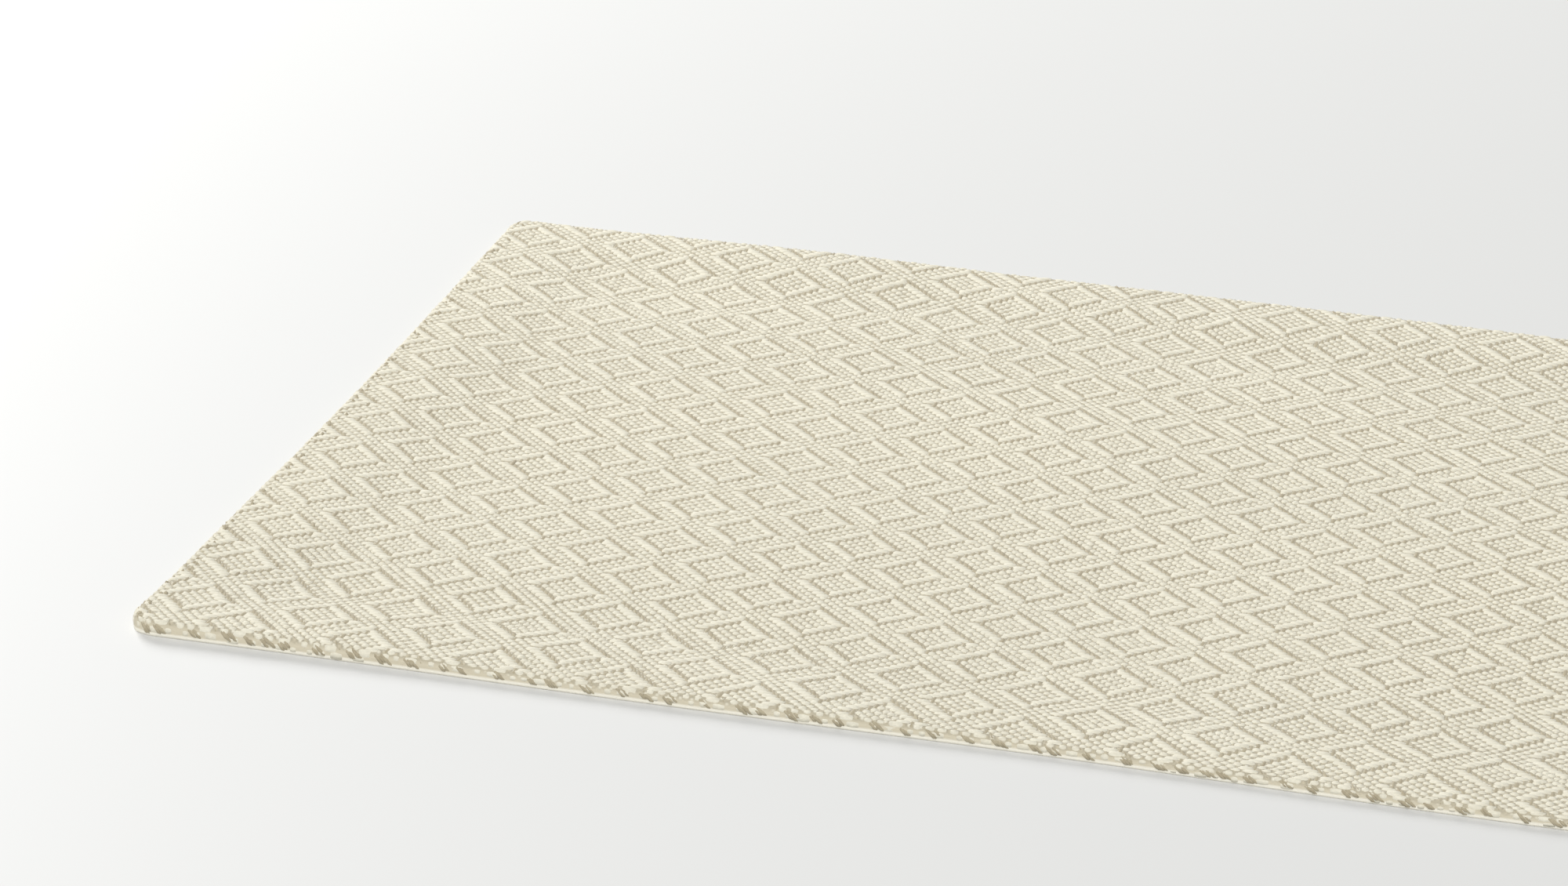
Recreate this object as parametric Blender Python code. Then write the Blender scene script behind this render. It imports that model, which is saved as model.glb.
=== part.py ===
"""A woven placemat lying flat: one thick cloth with its hem turned under all round.

Metres, +Z up. The mat's long edge runs along X and its near edge faces -Y. The origin is under the
middle of the mat, on the surface that it lies on.
"""

import bmesh
import bpy
from math import exp

# ---------------------------------------------------------------- driving dimensions (metres)
LENGTH = 0.480  # along X
WIDTH = 0.330  # along Y
CORNER_RADIUS = 0.008  # of the outline, where two hems meet
CLOTH = 0.0017  # one layer of the weave
HEM_WIDTH = 0.014  # of the layer that is turned under, all round
HEM_SHOULDER = 0.026  # from the hem's inner edge to where the cloth is down on the table
HEM_STEP = 0.0004  # the hem's inner edge drops over this width
FOLD = 0.0016  # radius of the fold along the edge, above
FOLD_BELOW = 0.0006  # and below, where the fold rests on the table

# Distances of the rows from the edge: close where the fold turns and where the hem ends.
HEM_ROWS = (0.0, 0.0002, FOLD_BELOW, 0.0010, FOLD, 0.0040, 0.0085, HEM_WIDTH - HEM_STEP, HEM_WIDTH)
SHOULDER_SHARES = (0.22, 0.45, 0.70, 1.0)
EDGE_ROWS = HEM_ROWS + tuple(HEM_WIDTH + share * HEM_SHOULDER for share in SHOULDER_SHARES)
FIELD_CELL = 0.0125  # the rows' spacing in the field inside the shoulder

# Where the edges bow. side, place along it from -X or -Y as a share, half width of the bow as a
# share, and how far the edge goes in (out where negative).
SWAY = (
    ("left", 0.52, 0.42, 0.0022),
    ("right", 0.45, 0.45, 0.0016),
    ("near", 0.10, 0.12, 0.0009),
    ("near", 0.50, 0.14, 0.0011),
    ("near", 0.74, 0.16, -0.0012),
    ("far", 0.12, 0.13, 0.0016),
    ("far", 0.40, 0.15, -0.0014),
    ("far", 0.78, 0.15, 0.0010),
)

# Where the hem's layers lie loose and the upper one stands higher: centre x and y, reach in x and y,
# height.
LOOSE = (
    (-0.215, -0.172, 0.120, 0.046, 0.0013),
    (-0.070, -0.172, 0.080, 0.032, 0.0006),
    (-0.150, 0.172, 0.075, 0.044, 0.0011),
    (0.050, 0.172, 0.110, 0.036, 0.0005),
    (0.235, 0.172, 0.090, 0.040, 0.0008),
)

# Soft swells and hollows of the upper side: centre x and y, reach in x and y, height.
SWELLS = (
    (-0.175, -0.080, 0.085, 0.050, 0.0005),
    (-0.045, -0.075, 0.080, 0.048, -0.0003),
    (0.060, -0.090, 0.055, 0.075, 0.0006),
    (-0.070, 0.010, 0.070, 0.055, -0.0004),
    (-0.165, 0.070, 0.070, 0.060, 0.0003),
    (0.020, 0.060, 0.085, 0.060, 0.0005),
    (0.130, 0.000, 0.075, 0.100, 0.0009),
    (0.190, -0.110, 0.070, 0.050, 0.0004),
)

MAT_COLOUR = (0.70, 0.66, 0.53, 1.0)  # linear, the mean of the cream and the beige yarns
MAT_ROUGHNESS = 0.9


# ---------------------------------------------------------------- the mat's form
def rise(share):
    """0 to 1 with level ends, as share goes from 0 to 1."""
    share = min(max(share, 0.0), 1.0)
    return share * share * (3.0 - 2.0 * share)


def mound(x, y, row):
    """Height at (x, y) of a round-topped mound, which ends at its reach."""
    centre_x, centre_y, reach_x, reach_y, height = row
    away = ((x - centre_x) / reach_x) ** 2 + ((y - centre_y) / reach_y) ** 2
    return height * (1.0 - away) ** 2 if away < 1.0 else 0.0


def edge_sway(side, share):
    """How far the side's edge goes in, at a share of its length."""
    return sum(
        depth * exp(-(((share - place) / half_width) ** 2))
        for name, place, half_width, depth in SWAY
        if name == side
    )


def inset(x, y):
    """Distance in from the nearest edge of the plain rectangle."""
    return min(LENGTH / 2 - abs(x), WIDTH / 2 - abs(y))


def over_hem(x, y):
    """Height of the upper layer's underside over the hem, and of the gap beside it."""
    return CLOTH * (1.0 - rise((inset(x, y) - HEM_WIDTH) / HEM_SHOULDER))


def loose(x, y):
    """How much higher the upper layer stands than where the layers lie close."""
    return sum(mound(x, y, row) for row in LOOSE)


def outline_point(x, y):
    """Moves a point of the plain rectangle to its place in the mat: rounded corners, bowed edges."""
    half_x, half_y = LENGTH / 2, WIDTH / 2
    corner_x = abs(x) - (half_x - CORNER_RADIUS)
    corner_y = abs(y) - (half_y - CORNER_RADIUS)
    if corner_x > 0 and corner_y > 0:
        u, v = corner_x / CORNER_RADIUS, corner_y / CORNER_RADIUS
        corner_x = CORNER_RADIUS * u * (1 - v * v / 2) ** 0.5
        corner_y = CORNER_RADIUS * v * (1 - u * u / 2) ** 0.5
        x = (half_x - CORNER_RADIUS + corner_x) * (1 if x > 0 else -1)
        y = (half_y - CORNER_RADIUS + corner_y) * (1 if y > 0 else -1)
    along_x, along_y = x / LENGTH + 0.5, y / WIDTH + 0.5
    left, right = edge_sway("left", along_y), edge_sway("right", along_y)
    near, far = edge_sway("near", along_x), edge_sway("far", along_x)
    moved_x = x + left * (1 - along_x) ** 3 - right * along_x**3
    moved_y = y + near * (1 - along_y) ** 3 - far * along_y**3
    return moved_x, moved_y


def underside(x, y):
    """Height of the lowest layer: the hem flat on the table, then the cloth as it comes down inside."""
    on_hem = inset(x, y) < HEM_WIDTH - HEM_STEP / 2
    return 0.0 if on_hem else loose(x, y) + over_hem(x, y)


def upper_side(x, y):
    """Height of the patterned side before the fold, with its unevenness."""
    return loose(x, y) + over_hem(x, y) + CLOTH + sum(mound(x, y, row) for row in SWELLS)


def fold_share(x, y, radius):
    """1 on the flat of the cloth, 0 on the outline, along a quarter turn of the fold."""
    short = max(0.0, 1.0 - inset(x, y) / radius)
    return (1.0 - short * short) ** 0.5


def rows(size):
    """The grid's lines along one side: close over both hems and even in the field."""
    half = size / 2
    inner = half - EDGE_ROWS[-1]
    count = round(2 * inner / FIELD_CELL)
    field = [-inner + 2 * inner * i / count for i in range(1, count)]
    return [-half + d for d in EDGE_ROWS] + field + [half - d for d in reversed(EDGE_ROWS)]


# ---------------------------------------------------------------- the solid
def mat_mesh():
    """The mat as one closed body: a grid above, a band of cells and one flat face below."""
    xs, ys = rows(LENGTH), rows(WIDTH)
    last_x, last_y = len(xs) - 1, len(ys) - 1
    band = len(EDGE_ROWS) - 1
    bm = bmesh.new()
    upper, lower = {}, {}
    for i, x in enumerate(xs):
        for j, y in enumerate(ys):
            place_x, place_y = outline_point(x, y)
            low, high = underside(x, y), upper_side(x, y)
            middle = (low + high) / 2
            above, below = fold_share(x, y, FOLD), fold_share(x, y, FOLD_BELOW)
            upper[i, j] = bm.verts.new((place_x, place_y, middle + (high - middle) * above))
            if i in (0, last_x) or j in (0, last_y):
                lower[i, j] = upper[i, j]
            elif not (band < i < last_x - band and band < j < last_y - band):
                lower[i, j] = bm.verts.new((place_x, place_y, middle + (low - middle) * below))
    for i in range(last_x):
        for j in range(last_y):
            cell = [(i, j), (i + 1, j), (i + 1, j + 1), (i, j + 1)]
            bm.faces.new([upper[key] for key in cell])
            if not (band <= i < last_x - band and band <= j < last_y - band):
                bm.faces.new([lower[key] for key in reversed(cell)])
    near = [(i, band) for i in range(band, last_x - band)]
    right = [(last_x - band, j) for j in range(band, last_y - band)]
    far = [(i, last_y - band) for i in range(last_x - band, band, -1)]
    left = [(band, j) for j in range(last_y - band, band, -1)]
    bm.faces.new([lower[key] for key in reversed(near + right + far + left)])

    low_corner = [min(v.co[k] for v in bm.verts) for k in range(3)]
    high_corner = [max(v.co[k] for v in bm.verts) for k in range(3)]
    for vert in bm.verts:
        vert.co.x -= (low_corner[0] + high_corner[0]) / 2
        vert.co.y -= (low_corner[1] + high_corner[1]) / 2
        vert.co.z -= low_corner[2]
    mesh = bpy.data.meshes.new("mat")
    bm.to_mesh(mesh)
    bm.free()
    return mesh


def cloth_material():
    """The plain cloth: a pale, matt, undyed cotton."""
    material = bpy.data.materials.new("woven_cotton")
    material.use_nodes = True
    shader = material.node_tree.nodes["Principled BSDF"]
    shader.inputs["Base Color"].default_value = MAT_COLOUR
    shader.inputs["Roughness"].default_value = MAT_ROUGHNESS
    shader.inputs["Metallic"].default_value = 0.0
    return material


def build():
    for old in list(bpy.data.objects):
        bpy.data.objects.remove(old)
    mesh = mat_mesh()
    mesh.shade_smooth()
    mesh.materials.append(cloth_material())
    mat = bpy.data.objects.new("mat", mesh)
    bpy.context.scene.collection.objects.link(mat)


build()
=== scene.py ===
"""A woven placemat on a pale table: thick cream filling yarns over thin beige warp ends.

Every yarn that shows is a piece of geometry. The weave is charted cell by cell. Each float, a
stretch where one yarn lies on top, becomes one small rounded grain, and the grains lie on the mat's
own surface: its hem, its fold, its bowed edges and its soft swells.

Metres, +Z up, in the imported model's frame. The mat's long edge runs along X and its near edge faces
-Y.
"""

from math import pi, radians

import bpy
import numpy as np
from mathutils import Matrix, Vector


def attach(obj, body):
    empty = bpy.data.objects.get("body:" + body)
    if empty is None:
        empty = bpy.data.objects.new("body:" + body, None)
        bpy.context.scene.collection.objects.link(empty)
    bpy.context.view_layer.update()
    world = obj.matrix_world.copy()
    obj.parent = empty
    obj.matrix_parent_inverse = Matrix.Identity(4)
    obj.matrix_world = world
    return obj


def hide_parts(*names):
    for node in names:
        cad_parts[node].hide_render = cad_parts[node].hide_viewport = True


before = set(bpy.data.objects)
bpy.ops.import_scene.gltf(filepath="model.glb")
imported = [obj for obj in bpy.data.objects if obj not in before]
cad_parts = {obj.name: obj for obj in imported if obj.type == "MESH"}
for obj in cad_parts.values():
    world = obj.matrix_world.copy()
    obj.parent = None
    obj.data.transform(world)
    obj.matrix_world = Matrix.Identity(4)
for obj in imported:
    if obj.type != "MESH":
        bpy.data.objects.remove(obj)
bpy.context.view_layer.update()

# ---------------------------------------------------------------- the mat's form (metres)
LENGTH, WIDTH = 0.480, 0.330  # along X and along Y
CORNER_RADIUS = 0.008  # of the outline, where two hems meet
CORNER_END = 1.2  # shares of that radius from its middle to where the corner's formula ends
CLOTH = 0.0017  # one layer of the weave
HEM_WIDTH = 0.014  # of the layer that is turned under, all round
HEM_SHOULDER = 0.026  # from the hem's inner edge to where the cloth is down on the table
HEM_STEP = 0.0004  # the hem's inner edge drops over this width
FOLD = 0.0016  # radius of the fold along the edge, above
FOLD_BELOW = 0.0002  # and at its foot, tighter than the solid's: its shadow on the table is thin

# Where the edges bow. side, place along it from -X or -Y as a share, half width of the bow as a
# share, and how far the edge goes in (out where negative).
SWAY = (
    ("left", 0.52, 0.42, 0.0022),
    ("right", 0.45, 0.45, 0.0016),
    ("near", 0.10, 0.12, 0.0009),
    ("near", 0.50, 0.14, 0.0011),
    ("near", 0.74, 0.16, -0.0012),
    ("far", 0.12, 0.13, 0.0016),
    ("far", 0.40, 0.15, -0.0014),
    ("far", 0.78, 0.15, 0.0010),
)

# Where the hem's layers lie loose and the upper one stands higher: centre x and y, reach in x and y,
# height.
LOOSE = (
    (-0.215, -0.172, 0.120, 0.046, 0.0013),
    (-0.070, -0.172, 0.080, 0.032, 0.0006),
    (-0.150, 0.172, 0.075, 0.044, 0.0011),
    (0.050, 0.172, 0.110, 0.036, 0.0005),
    (0.235, 0.172, 0.090, 0.040, 0.0008),
)

# Soft swells and hollows of the upper side, in the same columns.
SWELLS = (
    (-0.175, -0.080, 0.085, 0.050, 0.0005),
    (-0.045, -0.075, 0.080, 0.048, -0.0003),
    (0.060, -0.090, 0.055, 0.075, 0.0006),
    (-0.070, 0.010, 0.070, 0.055, -0.0004),
    (-0.165, 0.070, 0.070, 0.060, 0.0003),
    (0.020, 0.060, 0.085, 0.060, 0.0005),
    (0.130, 0.000, 0.075, 0.100, 0.0009),
    (0.190, -0.110, 0.070, 0.050, 0.0004),
)
HEIGHT = 4  # the column of the heights

# ---------------------------------------------------------------- the weave
END_PITCH = 0.001507  # from one beige warp end to the next; they run along Y
PICK_PITCH = 0.001491  # from one cream filling pick to the next; they run along X
ENDS_A_DIAMOND, PICKS_A_DIAMOND = 11, 9  # from one diamond to the next aslant, half a repeat
TIP_X, TIP_Y = -0.1154, -0.0240  # the left tip of one diamond, at end 0 and pick 0
FIRST_END, LAST_END = -100, 250  # the chart goes on past the mat, and the floats there aren't made
FIRST_PICK, LAST_PICK = -136, 104  # picks are counted towards the near edge

# A diamond's sides, from its left tip: first and last end, picks for each end, and the pick at end 0
# of the diagonal that goes cream and of the one that goes beige.
SIDES = (
    (6, 12, 1, -11, -12),  # upper right
    (0, 5, 1, 1, 0),  # lower left
    (0, 5, -1, -1, 0),  # upper left
    (6, 11, -1, 11, 12),  # lower right
)

# Where the weave has drifted in its own plane: centre x and y, reach in x and y, shift in x and y.
DRIFTS = (
    (-0.240, -0.180, 0.230, 0.095, -0.0059, 0.0),
    (0.200, -0.180, 0.300, 0.110, 0.0053, 0.0),
    (-0.240, 0.180, 0.200, 0.110, -0.0068, 0.0),
    (0.020, 0.190, 0.330, 0.150, -0.0059, 0.0),
    (-0.220, 0.000, 0.120, 0.140, -0.0014, 0.0),
    (0.150, -0.020, 0.200, 0.150, 0.0009, 0.0),
    (0.220, -0.060, 0.240, 0.260, 0.0, 0.0042),
    (-0.060, -0.185, 0.330, 0.075, 0.0, -0.0041),
    (-0.060, 0.185, 0.330, 0.090, 0.0, 0.0018),
)
SHIFT_X, SHIFT_Y = 4, 5  # the columns of the shifts
DRIFT_ROUNDS = 4  # in which a place before the drift is found for one after it

LAST_TURN = radians(124)  # a grain whose middle is past this angle of the fold isn't made
LAST_WARP_TURN = radians(55)  # the same for warp floats on the near and far folds
FLOOR_DROP = 0.00002  # the table lies this far below z = 0, and every grain this far above it


# ---------------------------------------------------------------- the mat's surface
def rise(share):
    """0 to 1 with level ends, as share goes from 0 to 1."""
    share = np.clip(share, 0.0, 1.0)
    return share * share * (3.0 - 2.0 * share)


def mounds(x, y, rows, column=HEIGHT):
    """The summed height, or another column, of round-topped mounds at points (x, y)."""
    total = np.zeros(np.broadcast(x, y).shape)
    for row in rows:
        away = ((x - row[0]) / row[2]) ** 2 + ((y - row[1]) / row[3]) ** 2
        total += row[column] * np.clip(1.0 - away, 0.0, None) ** 2
    return total


def edge_sway(side, share):
    """How far the side's edge goes in, at a share of its length."""
    return sum(
        depth * np.exp(-(((share - place) / half_width) ** 2))
        for name, place, half_width, depth in SWAY
        if name == side
    )


def inset(x, y):
    """Distance in from the nearest edge of the plain rectangle."""
    return np.minimum(LENGTH / 2 - np.abs(x), WIDTH / 2 - np.abs(y))


def over_hem(x, y):
    """Height of the upper layer's underside over the hem, and of the gap beside it."""
    return CLOTH * (1.0 - rise((inset(x, y) - HEM_WIDTH) / HEM_SHOULDER))


def upper_side(x, y):
    """Height of the patterned side before the fold, with its unevenness."""
    return mounds(x, y, LOOSE) + over_hem(x, y) + CLOTH + mounds(x, y, SWELLS)


def underside(x, y):
    """Height of the lowest layer: the hem flat on the table, then the cloth as it comes down inside."""
    on_hem = inset(x, y) < HEM_WIDTH - HEM_STEP / 2
    return np.where(on_hem, 0.0, mounds(x, y, LOOSE) + over_hem(x, y))


def outline(x, y):
    """Plain rectangle to the mat's outline: rounded corners, bowed edges."""
    half_x, half_y = LENGTH / 2 - CORNER_RADIUS, WIDTH / 2 - CORNER_RADIUS
    u = (np.abs(x) - half_x) / CORNER_RADIUS
    v = (np.abs(y) - half_y) / CORNER_RADIUS
    corner = (u > 0) & (v > 0)
    u, v = np.clip(u, 0, CORNER_END), np.clip(v, 0, CORNER_END)
    round_x = (half_x + CORNER_RADIUS * u * np.sqrt(1 - v * v / 2)) * np.sign(x)
    round_y = (half_y + CORNER_RADIUS * v * np.sqrt(1 - u * u / 2)) * np.sign(y)
    x, y = np.where(corner, round_x, x), np.where(corner, round_y, y)
    along_x, along_y = x / LENGTH + 0.5, y / WIDTH + 0.5
    left, right = edge_sway("left", along_y), edge_sway("right", along_y)
    near, far = edge_sway("near", along_x), edge_sway("far", along_x)
    moved_x = x + left * (1 - along_x) ** 3 - right * along_x**3
    moved_y = y + near * (1 - along_y) ** 3 - far * along_y**3
    return moved_x, moved_y


def rectangle_middle(side_points=481):
    """The middle of the mat's bounding box before it is set over the origin."""
    along = np.linspace(-0.5, 0.5, side_points)
    side = np.full_like(along, 0.5)
    x_low, _ = outline(-side * LENGTH, along * WIDTH)
    x_high, _ = outline(side * LENGTH, along * WIDTH)
    _, y_low = outline(along * LENGTH, -side * WIDTH)
    _, y_high = outline(along * LENGTH, side * WIDTH)
    return (x_low.min() + x_high.max()) / 2, (y_low.min() + y_high.max()) / 2


MIDDLE_X, MIDDLE_Y = rectangle_middle()


def round_the_fold(path, size, height):
    """A path across the cloth to a plain coordinate and the angle it has turned round the fold."""
    straight = size / 2 - FOLD
    past = np.clip(np.abs(path) - straight, 0.0, pi * FOLD)
    turn = past / FOLD
    # Above, the fold is round. Below, it comes back in by the foot's radius only.
    out = FOLD * np.sin(turn) + (FOLD - FOLD_BELOW) * (1.0 - np.sin(turn)) * (turn > pi / 2)
    folded = np.sign(path) * (straight + out + height * np.sin(turn))
    return np.where(past > 0, folded, path), turn


def on_cloth(path_x, path_y, height):
    """Points at a height above the cloth's outer surface, as an array of x, y, z."""
    x, turn_x = round_the_fold(path_x, LENGTH, height)
    y, turn_y = round_the_fold(path_y, WIDTH, height)
    turn = np.maximum(turn_x, turn_y)
    middle = upper_side(x, y) / 2
    z = middle + (middle + height) * np.cos(turn)
    place_x, place_y = outline(x, y)
    z = np.maximum(z, FLOOR_DROP)
    return np.stack([place_x - MIDDLE_X, place_y - MIDDLE_Y, z], axis=-1)


# ---------------------------------------------------------------- the chart
def weave_chart():
    """True where the cream pick is on top, by pick (rows) and end (columns).

    Plain weave, but along each side of a diamond one diagonal of cells goes cream and the next goes
    beige. That leaves two-pick beige floats, which draw the outline, beside a plain cream line.
    """
    ends = np.arange(FIRST_END, LAST_END + 1)
    picks = np.arange(FIRST_PICK, LAST_PICK + 1)
    cream = (ends[None, :] + picks[:, None]) % 2 == 0

    def colour_cell(end, pick, to_cream):
        if FIRST_END <= end <= LAST_END and FIRST_PICK <= pick <= LAST_PICK:
            cream[pick - FIRST_PICK, end - FIRST_END] = to_cream

    across = range(FIRST_END // ENDS_A_DIAMOND - 1, LAST_END // ENDS_A_DIAMOND + 2)
    down = range(FIRST_PICK // PICKS_A_DIAMOND - 1, LAST_PICK // PICKS_A_DIAMOND + 2)
    tips = [
        (i * ENDS_A_DIAMOND, j * PICKS_A_DIAMOND) for i in across for j in down if (i + j) % 2 == 0
    ]
    for tip_end, tip_pick in tips:
        for first, last, slope, cream_pick, beige_pick in SIDES:
            for n in range(first, last + 1):
                colour_cell(tip_end + n, tip_pick + slope * n + cream_pick, True)
                colour_cell(tip_end + n, tip_pick + slope * n + beige_pick, False)
    return cream


def floats(on_top):
    """Runs of True along each row: row, first column, number of columns."""
    padded = np.pad(on_top, ((0, 0), (1, 1)))
    row, first = np.nonzero(padded[:, 1:-1] & ~padded[:, :-2])
    _, last = np.nonzero(padded[:, 1:-1] & ~padded[:, 2:])
    return row, first, last - first + 1


def falls(ends, picks):
    """True for the floats whose neighbour on the next end lies one pick nearer on the right."""
    there = set(zip(ends.tolist(), picks.tolist()))
    return np.array(
        [(e + 1, p + 1) in there or (e - 1, p - 1) in there for e, p in zip(ends, picks)]
    )


# ---------------------------------------------------------------- grains: one for each float
class Grain:
    """The shape of a float, in shares of its length and in metres across and up."""

    def __init__(
        self, reach, half_width, stations, long_stations, across, lean=0.0, turn=LAST_TURN
    ):
        self.reach = reach  # cells that the float goes on under its neighbours
        self.half_width = half_width
        self.stations = stations  # rows of share along, width share, height
        self.long_stations = long_stations  # the same for a float over several cells
        self.across = across  # rows of offset share, height
        self.lean = lean  # ends sideways for each pick along
        self.turn = turn  # how far round the near and far folds it is made


CREAM = Grain(
    reach=0.22,
    half_width=0.00086,
    stations=(
        (0.0, 0.56, -0.00042),
        (0.2, 0.93, -0.00008),
        (0.5, 1.0, 0.0),
        (0.8, 0.93, -0.00008),
        (1.0, 0.56, -0.00042),
    ),
    long_stations=(
        (0.0, 0.70, -0.00040),
        (0.14, 1.10, -0.00007),
        (0.5, 1.15, 0.0),
        (0.86, 1.10, -0.00007),
        (1.0, 0.70, -0.00040),
    ),
    across=((-1.0, -0.00038), (-0.48, 0.0), (0.48, 0.0), (1.0, -0.00038)),
)
BEIGE = Grain(
    reach=0.20,
    half_width=0.00048,
    stations=((0.0, 0.8, -0.00054), (0.5, 1.0, -0.00012), (1.0, 0.8, -0.00054)),
    long_stations=(
        (0.0, 0.8, -0.00040),
        (0.26, 1.0, -0.00010),
        (0.74, 1.0, -0.00010),
        (1.0, 0.8, -0.00040),
    ),
    across=((-1.0, -0.00030), (0.0, 0.0), (1.0, -0.00030)),
    turn=LAST_WARP_TURN,
)
# The floats along two sides of a diamond lie aslant and run into a line.
SLANTED = Grain(
    reach=0.14,
    half_width=0.00046,
    stations=BEIGE.stations,
    long_stations=BEIGE.long_stations,
    across=BEIGE.across,
    lean=0.42,
    turn=LAST_WARP_TURN,
)
# Along the folds of the near and far edges the warp shows as clusters of broad strokes aslant, and
# along those of the left and right edges as small specks.
STROKE_STATIONS = (
    (0.0, 0.5, -0.00022),
    (0.25, 1.0, 0.00014),
    (0.75, 1.0, 0.00014),
    (1.0, 0.5, -0.00022),
)
STROKE = Grain(
    reach=0.0,
    half_width=0.00064,
    stations=STROKE_STATIONS,
    long_stations=STROKE_STATIONS,
    across=((-1.0, -0.00034), (-0.4, 0.0), (0.4, 0.0), (1.0, -0.00034)),
    lean=1.05,
)
SPECK = Grain(
    reach=0.0,
    half_width=0.00048,
    stations=STROKE_STATIONS,
    long_stations=STROKE_STATIONS,
    across=((-1.0, -0.00034), (0.0, 0.0), (1.0, -0.00034)),
    lean=0.3,
)

# How unlike each other the grains are, as standard deviations.
NUDGE_ALONG = 0.07  # cells
NUDGE_ACROSS = 0.00007
NUDGE_WIDTH = 0.11  # share of the width
NUDGE_HEIGHT = 0.00005

CLUSTER_STROKES = (2, 3, 3, 4)  # strokes or specks in a cluster, at random
STROKE_CLUSTER_STEPS = (3, 4, 5, 6)  # ends from one cluster of strokes to the next, at random
STROKE_STEP = 0.50  # ends from one stroke to the next
STROKE_CELLS = 1.2  # picks that a stroke covers
STROKE_LENGTHS = (0.7, 1.3)  # shares of that, from the shortest to the longest
STROKE_TURN = radians(93)  # angle of the fold at a stroke's middle
STROKE_TURN_SPREAD = 0.12  # standard deviation of that angle, in radians
SPECK_CLUSTER_STEPS = (4, 5, 6, 7, 8)  # picks from one cluster of specks to the next, at random
SPECK_LENGTHS = (0.8, 1.3)  # picks, from the shortest to the longest
SPECK_INSET = 0.0024  # from the edge to a cluster's middle
SPECK_SPREAD_ALONG = 1.1  # standard deviation along the edge, in picks
SPECK_SPREAD_ACROSS = 0.0009  # and across it, in metres


def clusters(rng, steps, first, last):
    """For each stroke along two opposite edges: its cluster's place, its number in it, its side."""
    places = first + np.cumsum(rng.choice(steps, last - first))
    places = places[places < last]
    counts = rng.choice(CLUSTER_STROKES, 2 * len(places))
    number = np.concatenate([np.arange(count) for count in counts])
    side = np.repeat(np.repeat((-1.0, 1.0), len(places)), counts)
    return np.repeat(np.tile(places, 2), counts), number, side


def fold_strokes(rng):
    """First pick, length and end of every stroke on the near and the far fold."""
    place, number, side = clusters(rng, STROKE_CLUSTER_STEPS, FIRST_END, LAST_END)
    ends = place + STROKE_STEP * number
    turn = STROKE_TURN + rng.normal(0.0, STROKE_TURN_SPREAD, len(ends))
    path = side * (WIDTH / 2 - FOLD + turn * FOLD)
    x, y = TIP_X + ends * END_PITCH, path
    for _ in range(DRIFT_ROUNDS):
        y = path - mounds(x, y, DRIFTS, SHIFT_Y)
    cells = STROKE_CELLS * rng.uniform(*STROKE_LENGTHS, len(ends))
    return (TIP_Y - y) / PICK_PITCH - (cells - 1) / 2, cells, ends


def side_specks(rng):
    """First pick, length and end of every speck along the left and the right fold."""
    place, _, side = clusters(rng, SPECK_CLUSTER_STEPS, FIRST_PICK, LAST_PICK)
    picks = place + rng.normal(0.0, SPECK_SPREAD_ALONG, len(side))
    path = side * (LENGTH / 2 - SPECK_INSET) + rng.normal(0.0, SPECK_SPREAD_ACROSS, len(side))
    x, y = path, TIP_Y - picks * PICK_PITCH
    for _ in range(DRIFT_ROUNDS):
        x = path - mounds(x, y, DRIFTS, SHIFT_X)
    return picks, rng.uniform(*SPECK_LENGTHS, len(side)), (x - TIP_X) / END_PITCH


def grain_points(grain, along, cells, cross, filling, rng):
    """Every grain's points, as arrays (grain, station, point across, xyz), by number of stations.

    along and cells are a float's first cell and its length in cells, and cross is its own end or
    pick. filling says that it is a pick.
    """
    groups = []
    for long in (False, True):
        chosen = (cells > 1) == long
        count = int(chosen.sum())
        if not count:
            continue
        stations = np.array(grain.long_stations if long else grain.stations)
        profile = np.array(grain.across)
        n_cells = cells[chosen][:, None, None]
        middle = along[chosen][:, None, None] + (n_cells - 1) / 2
        row = cross[chosen][:, None, None]
        nudge = rng.normal(0.0, 1.0, (count, 4))[:, :, None, None]
        reach = (stations[None, :, 0, None] - 0.5) * (n_cells + 2 * grain.reach)
        go = middle + reach + NUDGE_ALONG * nudge[:, 0]
        full = 1.0 + NUDGE_WIDTH * nudge[:, 2]
        side = profile[None, None, :, 0] * stations[None, :, 1, None] * grain.half_width * full
        side = side + grain.lean * reach * END_PITCH + NUDGE_ACROSS * nudge[:, 1]
        height = stations[None, :, 2, None] + profile[None, None, :, 1] + NUDGE_HEIGHT * nudge[:, 3]
        if filling:
            x, y = TIP_X + go * END_PITCH, TIP_Y - row * PICK_PITCH + side
        else:
            x, y = TIP_X + row * END_PITCH + side, TIP_Y - go * PICK_PITCH
        x, y = x + mounds(x, y, DRIFTS, SHIFT_X), y + mounds(x, y, DRIFTS, SHIFT_Y)
        centre_x, centre_y = x.mean(axis=(1, 2)), y.mean(axis=(1, 2))
        reach_x = LENGTH / 2 - FOLD + LAST_TURN * FOLD
        reach_y = WIDTH / 2 - FOLD + grain.turn * FOLD
        kept = (np.abs(centre_x) < reach_x) & (np.abs(centre_y) < reach_y)
        groups.append(on_cloth(x[kept], y[kept], height[kept]))
    return groups


def quad_mesh(name, points, faces):
    """A smooth mesh from an array of points and an array of four-cornered faces."""
    mesh = bpy.data.meshes.new(name)
    mesh.vertices.add(len(points))
    mesh.vertices.foreach_set("co", points.astype(np.float32).ravel())
    mesh.loops.add(faces.size)
    mesh.loops.foreach_set("vertex_index", faces.astype(np.int32).ravel())
    mesh.polygons.add(len(faces))
    mesh.polygons.foreach_set("loop_start", np.arange(0, faces.size, 4, dtype=np.int32))
    mesh.update(calc_edges=True)
    mesh.shade_smooth()
    return mesh


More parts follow.
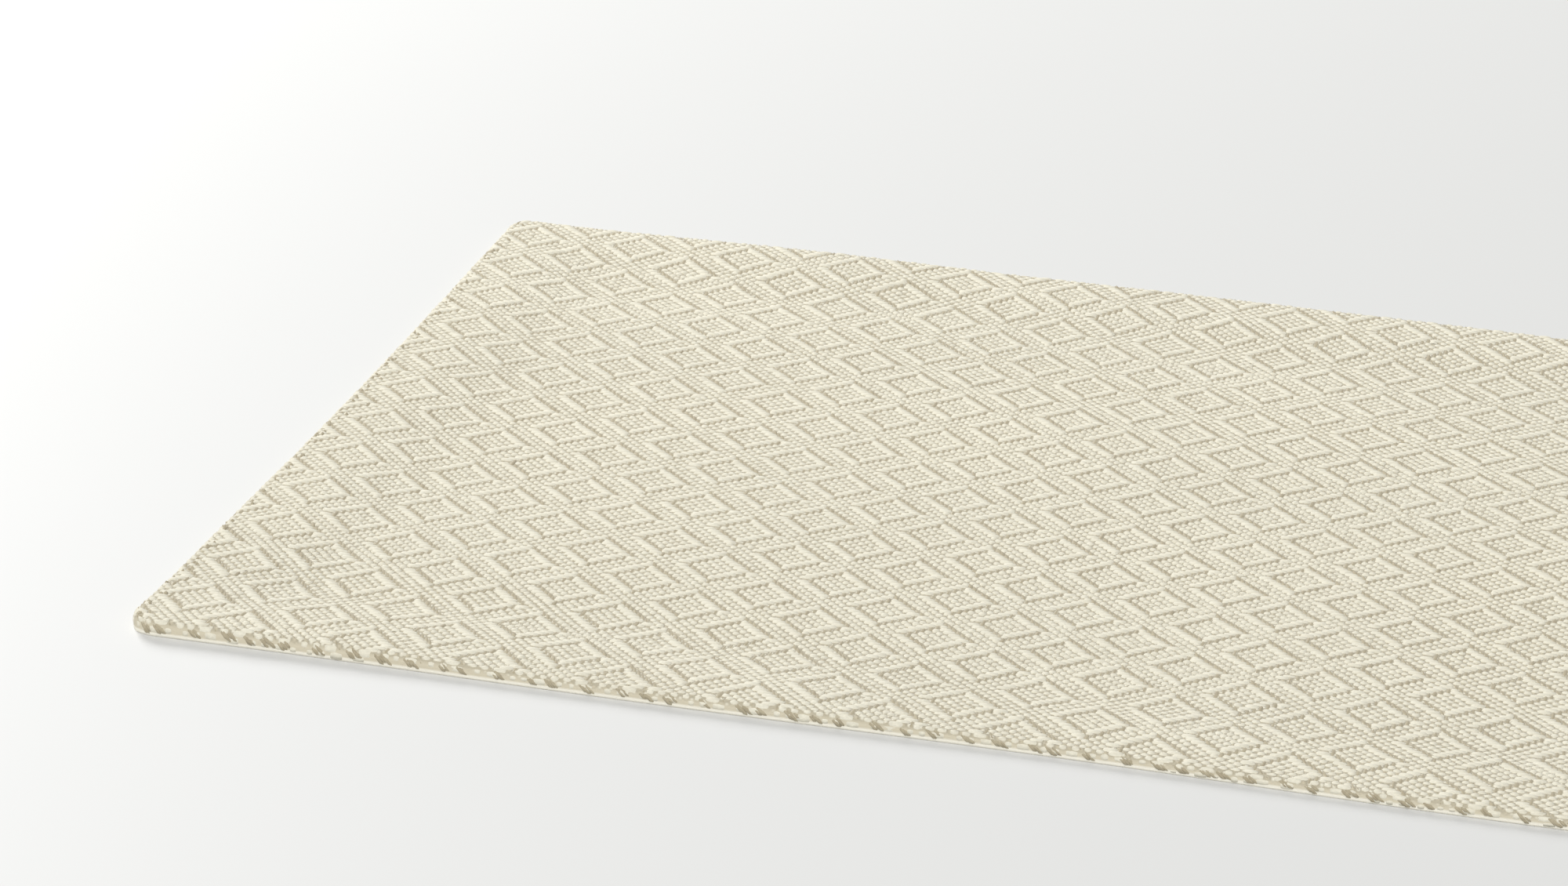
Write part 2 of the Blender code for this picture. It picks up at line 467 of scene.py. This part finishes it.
def grain_mesh(name, groups, filling):
    """One mesh of all the grains in the groups, as quads that face up."""
    points, faces, base = [], [], 0
    for group in groups:
        count, stations, across, _ = group.shape
        points.append(group.reshape(-1, 3))
        first = np.arange(count)[:, None, None] * stations * across + base
        station = np.arange(stations - 1)[None, :, None] * across
        corner = first + station + np.arange(across - 1)[None, None, :]
        ring = [corner, corner + across, corner + across + 1, corner + 1]
        if not filling:
            ring = ring[::-1]
        faces.append(np.stack(ring, axis=-1).reshape(-1, 4))
        base += count * stations * across
    return quad_mesh(name, np.concatenate(points), np.concatenate(faces))


def add_piece(name, mesh, material):
    """The mesh as a piece of the mat's only body."""
    piece = bpy.data.objects.new(name, mesh)
    mesh.materials.append(material)
    bpy.context.scene.collection.objects.link(piece)
    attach(piece, "root")
    return piece


def yarn_pieces(name, grain, along, cells, cross, filling, material, parts, seed):
    """The grains in a few bands, so that no piece grows too heavy."""
    rng = np.random.default_rng(seed)
    pieces = []
    place = cross if filling else along
    limits = np.quantile(place, np.linspace(0, 1, parts + 1)[1:-1]).round()
    band = np.searchsorted(limits, place, side="right")
    for part in range(parts):
        inside = band == part
        groups = grain_points(grain, along[inside], cells[inside], cross[inside], filling, rng)
        label = f"{name}_{part + 1}"
        pieces.append(add_piece(label, grain_mesh(label, groups, filling), material))
    return pieces


# ---------------------------------------------------------------- the cloth under the grains
SUNK = 0.00032  # how far the cloth's upper side lies below the yarns' tops
GROUND_INSET = 0.00015  # how far its edge lies inside the mat's
GROUND_CELL = 0.006  # its rows' spacing in the field

# Distances of its rows from the mat's edge: close where the fold turns and where the hem ends.
GROUND_ROWS = (
    GROUND_INSET, 0.0002, 0.0003, 0.0005, 0.0008, 0.0012, FOLD, 0.0030, 0.0055, 0.0085, 0.0115,
    HEM_WIDTH - HEM_STEP, HEM_WIDTH, 0.018, 0.0225, 0.0275, 0.0335, HEM_WIDTH + HEM_SHOULDER,
)


def ground_rows(size):
    """The grid's lines along one side."""
    half = size / 2
    inner = half - GROUND_ROWS[-1]
    count = round(2 * inner / GROUND_CELL)
    field = [-inner + 2 * inner * i / count for i in range(1, count)]
    low = [-half + d for d in GROUND_ROWS]
    return np.array(low + field + [-d for d in reversed(low)])


def ground_mesh():
    """The cloth itself as a thin closed sheet, with its turned-under hem below."""
    xs, ys = ground_rows(LENGTH), ground_rows(WIDTH)
    x, y = np.meshgrid(xs, ys, indexing="ij")
    low, high = underside(x, y), upper_side(x, y) - SUNK
    middle = (low + high) / 2

    def fold_share(radius):
        short = np.clip(1.0 - (inset(x, y) - GROUND_INSET) / radius, 0.0, 1.0)
        return np.sqrt(1.0 - short * short)

    place_x, place_y = outline(x, y)
    place = [place_x - MIDDLE_X, place_y - MIDDLE_Y]
    upper_z = middle + (high - middle) * fold_share(FOLD - GROUND_INSET)
    lower_z = middle + (low - middle) * fold_share(FOLD_BELOW)
    upper, lower = np.stack(place + [upper_z], axis=-1), np.stack(place + [lower_z], axis=-1)
    number = np.arange(x.size).reshape(x.shape)
    below = number + x.size
    below[0, :], below[-1, :] = number[0, :], number[-1, :]
    below[:, 0], below[:, -1] = number[:, 0], number[:, -1]

    def quads(n, order):
        ring = [n[:-1, :-1], n[1:, :-1], n[1:, 1:], n[:-1, 1:]]
        return np.stack(ring[::order], axis=-1).reshape(-1, 4)

    faces = np.concatenate([quads(number, 1), quads(below, -1)])
    used, renumbered = np.unique(faces, return_inverse=True)
    points = np.concatenate([upper.reshape(-1, 3), lower.reshape(-1, 3)])[used]
    return quad_mesh("cloth", points, renumbered.reshape(-1, 4))


# ---------------------------------------------------------------- materials (colours are linear)
CREAM_COLOUR = (0.725, 0.695, 0.58)
CREAM_WARM = (0.69, 0.65, 0.527)
BEIGE_COLOUR = (0.445, 0.395, 0.28)
BEIGE_DARK = (0.36, 0.31, 0.215)
PALE_BEIGE = (0.49, 0.44, 0.325)
GAP_SHADE_COLOUR = (0.42, 0.38, 0.285)  # painted shade: darker than the cloth that shows in the gaps between the yarns
WALL_COLOUR = (0.56, 0.51, 0.39)  # of the fold's side
FOOT_PAINTED_LIGHT_COLOUR = (0.80, 0.77, 0.67)  # of its foot, along the table, and of the underside: painted light, paler than the cream yarn, on a foot that lies in shade
WALL_FACING = (0.15, 0.60)  # normal's Z up to which it is the fold's side, and from which not
FOOT_HEIGHT = (0.0008, 0.0014)  # height up to which the side is its foot and gets the painted light, and from which not

# The scales of the yarns' noises along the yarn, across it and up.
FIBRE_SCALES = (1500.0, 2800.0, 2800.0)
FLECK_SCALES = (520.0, 800.0, 800.0)
YARN_SCALES = (22.0, 640.0, 1.0)  # of tones that differ from one yarn to the next
CLOUD_SCALES = (14.0, 14.0, 14.0)  # and from one part of the mat to another
GROUND_FIBRE_SCALES = (2600.0, 2600.0, 2600.0)
GROUND_FIBRE_RELIEF = 0.3  # share of the weave's relief

SHEEN_ROUGHNESS = 0.5
SPECULAR = 0.25
MIX_COLOURS, MIX_RESULT = (6, 7), 2  # a Mix node's sockets for colours


class Nodes:
    """Small helper for a material's node tree."""

    def __init__(self, name):
        self.material = bpy.data.materials.new(name)
        self.material.use_nodes = True
        self.tree = self.material.node_tree
        self.shader = self.tree.nodes["Principled BSDF"]
        coordinates = self.add("ShaderNodeTexCoord")
        self.place, self.normal = coordinates.outputs["Object"], coordinates.outputs["Normal"]

    def add(self, kind, **settings):
        node = self.tree.nodes.new(kind)
        for key, value in settings.items():
            setattr(node, key, value)
        return node

    def link(self, source, target):
        self.tree.links.new(source, target)

    def noise(self, scales, detail=2.0, roughness=0.5):
        """Noise, as 0 to 1, whose grain is 1/scale metres along each axis."""
        stretch = self.add("ShaderNodeMapping")
        stretch.inputs["Scale"].default_value = scales
        self.link(self.place, stretch.inputs["Vector"])
        noise = self.add("ShaderNodeTexNoise")
        noise.inputs["Scale"].default_value = 1.0
        noise.inputs["Detail"].default_value = detail
        noise.inputs["Roughness"].default_value = roughness
        self.link(stretch.outputs["Vector"], noise.inputs["Vector"])
        return noise.outputs["Fac"]

    def mix(self, factor, first, second):
        """A colour between two, each a colour or a socket."""
        mix = self.add("ShaderNodeMix", data_type="RGBA")
        self.link(factor, mix.inputs["Factor"])
        for value, number in zip((first, second), MIX_COLOURS):
            if isinstance(value, tuple):
                mix.inputs[number].default_value = (*value, 1.0)
            else:
                self.link(value, mix.inputs[number])
        return mix.outputs[MIX_RESULT]

    def spread(self, value, low, high, to_low=0.0, to_high=1.0):
        """The value stretched so that low gives to_low and high gives to_high, and no further."""
        span = self.add("ShaderNodeMapRange")
        ends = {"From Min": low, "From Max": high, "To Min": to_low, "To Max": to_high}
        for key, number in ends.items():
            span.inputs[key].default_value = number
        self.link(value, span.inputs["Value"])
        return span.outputs["Result"]

    def maths(self, operation, first, second=None):
        """A function of one or two values, each a float or a socket."""
        node = self.add("ShaderNodeMath", operation=operation)
        for value, socket in zip((first, second), node.inputs):
            if isinstance(value, float):
                socket.default_value = value
            elif value is not None:
                self.link(value, socket)
        return node.outputs["Value"]

    def axes(self, vector):
        """The X, Y and Z of a vector's socket."""
        split = self.add("ShaderNodeSeparateXYZ")
        self.link(vector, split.inputs["Vector"])
        return [split.outputs[axis] for axis in "XYZ"]

    def bump(self, height, strength, distance):
        bump = self.add("ShaderNodeBump")
        bump.inputs["Strength"].default_value = strength
        bump.inputs["Distance"].default_value = distance
        self.link(height, bump.inputs["Height"])
        self.link(bump.outputs["Normal"], self.shader.inputs["Normal"])

    def finish(self, colour, roughness, sheen):
        """The material of matt cotton, with its colour from a socket."""
        self.link(colour, self.shader.inputs["Base Color"])
        self.shader.inputs["Roughness"].default_value = roughness
        self.shader.inputs["Sheen Weight"].default_value = sheen
        self.shader.inputs["Sheen Roughness"].default_value = SHEEN_ROUGHNESS
        self.shader.inputs["Specular IOR Level"].default_value = SPECULAR
        return self.material


def darker(colour, share):
    return tuple(share * channel for channel in colour)


def yarn_material(name, colour, other, along_x):
    """Spun cotton: fibres along the yarn, tone that differs from yarn to yarn, a soft nap."""
    n = Nodes(name)

    def noise(scales, **settings):
        along, across, up = scales
        return n.noise((along, across, up) if along_x else (across, along, up), **settings)

    fleck = noise(FLECK_SCALES, detail=1.0)
    fibre = noise(FIBRE_SCALES, detail=3.0, roughness=0.6)
    yarn = noise(YARN_SCALES, detail=1.0)
    cloud = noise(CLOUD_SCALES)
    tone = n.mix(n.spread(yarn, low=0.30, high=0.70), colour, other)
    fibre_share = n.spread(fibre, low=0.3, high=0.7, to_high=0.6)
    tone = n.mix(fibre_share, tone, darker(colour, share=0.70))
    fleck_share = n.spread(fleck, low=0.45, high=0.75, to_high=0.6)
    tone = n.mix(fleck_share, tone, darker(other, share=0.80))
    tone = n.mix(n.spread(cloud, low=0.35, high=0.70, to_high=0.35), tone, other)
    n.bump(fibre, strength=0.5, distance=0.00012)
    return n.finish(tone, roughness=0.88, sheen=0.12)


def ground_material():
    """The cloth under the grains: a plain weave above with painted shade in the creases between the
    yarns, plain tones on the fold's side, and painted light on its foot and below.
    """
    n = Nodes("cotton_ground_painted_shade_and_light")
    x, y, z = n.axes(n.place)
    _, _, facing = n.axes(n.normal)
    wall = n.spread(facing, *WALL_FACING, to_low=1.0, to_high=0.0)
    flat = n.spread(facing, *WALL_FACING)
    end, pick = n.maths("DIVIDE", x, END_PITCH), n.maths("DIVIDE", y, PICK_PITCH)
    whole = n.maths("ADD", n.maths("FLOOR", end), n.maths("FLOOR", pick))
    weave = n.mix(n.maths("PINGPONG", whole, 1.0), CREAM_COLOUR, PALE_BEIGE)
    hump_x = n.maths("SINE", n.maths("MULTIPLY", n.maths("FRACT", end), pi))
    hump_y = n.maths("SINE", n.maths("MULTIPLY", n.maths("FRACT", pick), pi))
    hump = n.maths("MULTIPLY", hump_x, hump_y)
    fibre = n.noise(GROUND_FIBRE_SCALES, detail=3.0)
    # Painted shade: the cloth goes darker towards the edges of each cell, in the creases between the
    # yarns.
    tone = n.mix(n.spread(hump, low=0.3, high=1.0), GAP_SHADE_COLOUR, weave)
    tone = n.mix(n.spread(fibre, low=0.3, high=0.8, to_high=0.3), tone, PALE_BEIGE)
    # Painted light: the fold's foot along the table, and the underside, are paler than the cream yarn
    # where they lie in shade.
    foot = n.spread(z, *FOOT_HEIGHT, to_low=1.0, to_high=0.0)
    tone = n.mix(wall, tone, n.mix(foot, WALL_COLOUR, FOOT_PAINTED_LIGHT_COLOUR))
    fine_relief = n.maths("MULTIPLY", fibre, GROUND_FIBRE_RELIEF)
    relief = n.maths("ADD", n.maths("MULTIPLY", hump, flat), fine_relief)
    n.bump(relief, strength=0.8, distance=0.0004)
    return n.finish(tone, roughness=0.9, sheen=0.1)


# ---------------------------------------------------------------- the mat
def make_mat():
    """The grains of every yarn and the cloth under them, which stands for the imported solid."""
    cream = weave_chart()
    cream_cotton = yarn_material("cream_cotton", CREAM_COLOUR, CREAM_WARM, along_x=True)
    beige_cotton = yarn_material("beige_cotton", BEIGE_COLOUR, BEIGE_DARK, along_x=False)
    pale_cotton = yarn_material("pale_beige_cotton", PALE_BEIGE, BEIGE_COLOUR, along_x=False)

    picks, ends, cells = floats(cream)
    place = [ends + FIRST_END, cells, picks + FIRST_PICK]
    filling = yarn_pieces("filling_yarns", CREAM, *place, True, cream_cotton, parts=4, seed=11)

    ends, picks, cells = floats(~cream.T)
    single = cells == 1
    falling = np.zeros_like(single)
    falling[~single] = falls(ends[~single], picks[~single])
    warp = []
    for name, grain, chosen, material, parts in (
        ("warp_yarns", BEIGE, single, pale_cotton, 2),
        ("outline_yarns", BEIGE, ~single & ~falling, beige_cotton, 1),
        ("slanted_yarns", SLANTED, falling, beige_cotton, 1),
    ):
        place = [picks[chosen] + FIRST_PICK, cells[chosen], ends[chosen] + FIRST_END]
        warp += yarn_pieces(name, grain, *place, False, material, parts, seed=12)
    place = fold_strokes(np.random.default_rng(13))
    warp += yarn_pieces("turned_yarns", STROKE, *place, False, beige_cotton, parts=1, seed=14)
    place = side_specks(np.random.default_rng(15))
    warp += yarn_pieces("side_yarns", SPECK, *place, False, beige_cotton, parts=1, seed=16)

    cloth = add_piece("cloth", ground_mesh(), ground_material())
    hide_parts("mat")


# ---------------------------------------------------------------- table, light and camera
TABLE_SIZE = 8.0
TABLE_COLOUR = (0.61, 0.61, 0.597, 1.0)
TABLE_ROUGHNESS = 0.6
SKY_COLOUR = (0.985, 0.995, 1.0, 1.0)
SKY_STRENGTH = 0.36

# Square lamps, aimed at the middle of the mat: name, side, watts, place.
LAMPS = (
    ("window", 0.8, 41.0, (-1.5, 1.4, 1.0)),
    ("softbox", 5.4, 628.0, (-0.1, -5.6, 5.8)),
)

# The photograph's viewpoint, worked out from the mat's outline and weave.
CAMERA_PLACE = (0.27406, -1.4573, 0.60319)
CAMERA_TURN = (68.4156, -1.4245, 15.3063)  # degrees about X, Y and Z
CAMERA_LENS, CAMERA_SENSOR = 135.0, 36.0  # millimetres
CAMERA_CLIP = (0.05, 50.0)


def make_table():
    """A plain pale table top."""
    bpy.ops.mesh.primitive_plane_add(size=TABLE_SIZE, location=(0.0, 0.0, -FLOOR_DROP))
    table = bpy.context.object
    table.name = "table"
    n = Nodes("pale_table")
    n.shader.inputs["Base Color"].default_value = TABLE_COLOUR
    n.shader.inputs["Roughness"].default_value = TABLE_ROUGHNESS
    table.data.materials.append(n.material)


def make_light():
    """Two lamps and a pale sky, with colours shown as they are."""
    world = bpy.data.worlds.new("studio")
    world.use_nodes = True
    background = world.node_tree.nodes["Background"]
    background.inputs["Color"].default_value = SKY_COLOUR
    background.inputs["Strength"].default_value = SKY_STRENGTH
    bpy.context.scene.world = world
    for name, side, power, place in LAMPS:
        light = bpy.data.lights.new(name, "AREA")
        light.shape = "SQUARE"
        light.size = side
        light.energy = power
        lamp = bpy.data.objects.new(name, light)
        lamp.location = place
        lamp.rotation_euler = (-Vector(place)).to_track_quat("-Z", "Y").to_euler()
        bpy.context.scene.collection.objects.link(lamp)
    bpy.context.scene.view_settings.view_transform = "Standard"


def make_camera():
    """The camera at the photograph's viewpoint."""
    data = bpy.data.cameras.new("camera")
    data.sensor_width = CAMERA_SENSOR
    data.lens = CAMERA_LENS
    data.clip_start, data.clip_end = CAMERA_CLIP
    camera = bpy.data.objects.new("camera", data)
    camera.location = CAMERA_PLACE
    camera.rotation_euler = [radians(angle) for angle in CAMERA_TURN]
    bpy.context.scene.collection.objects.link(camera)
    bpy.context.scene.camera = camera


make_camera()
make_table()
make_light()
make_mat()
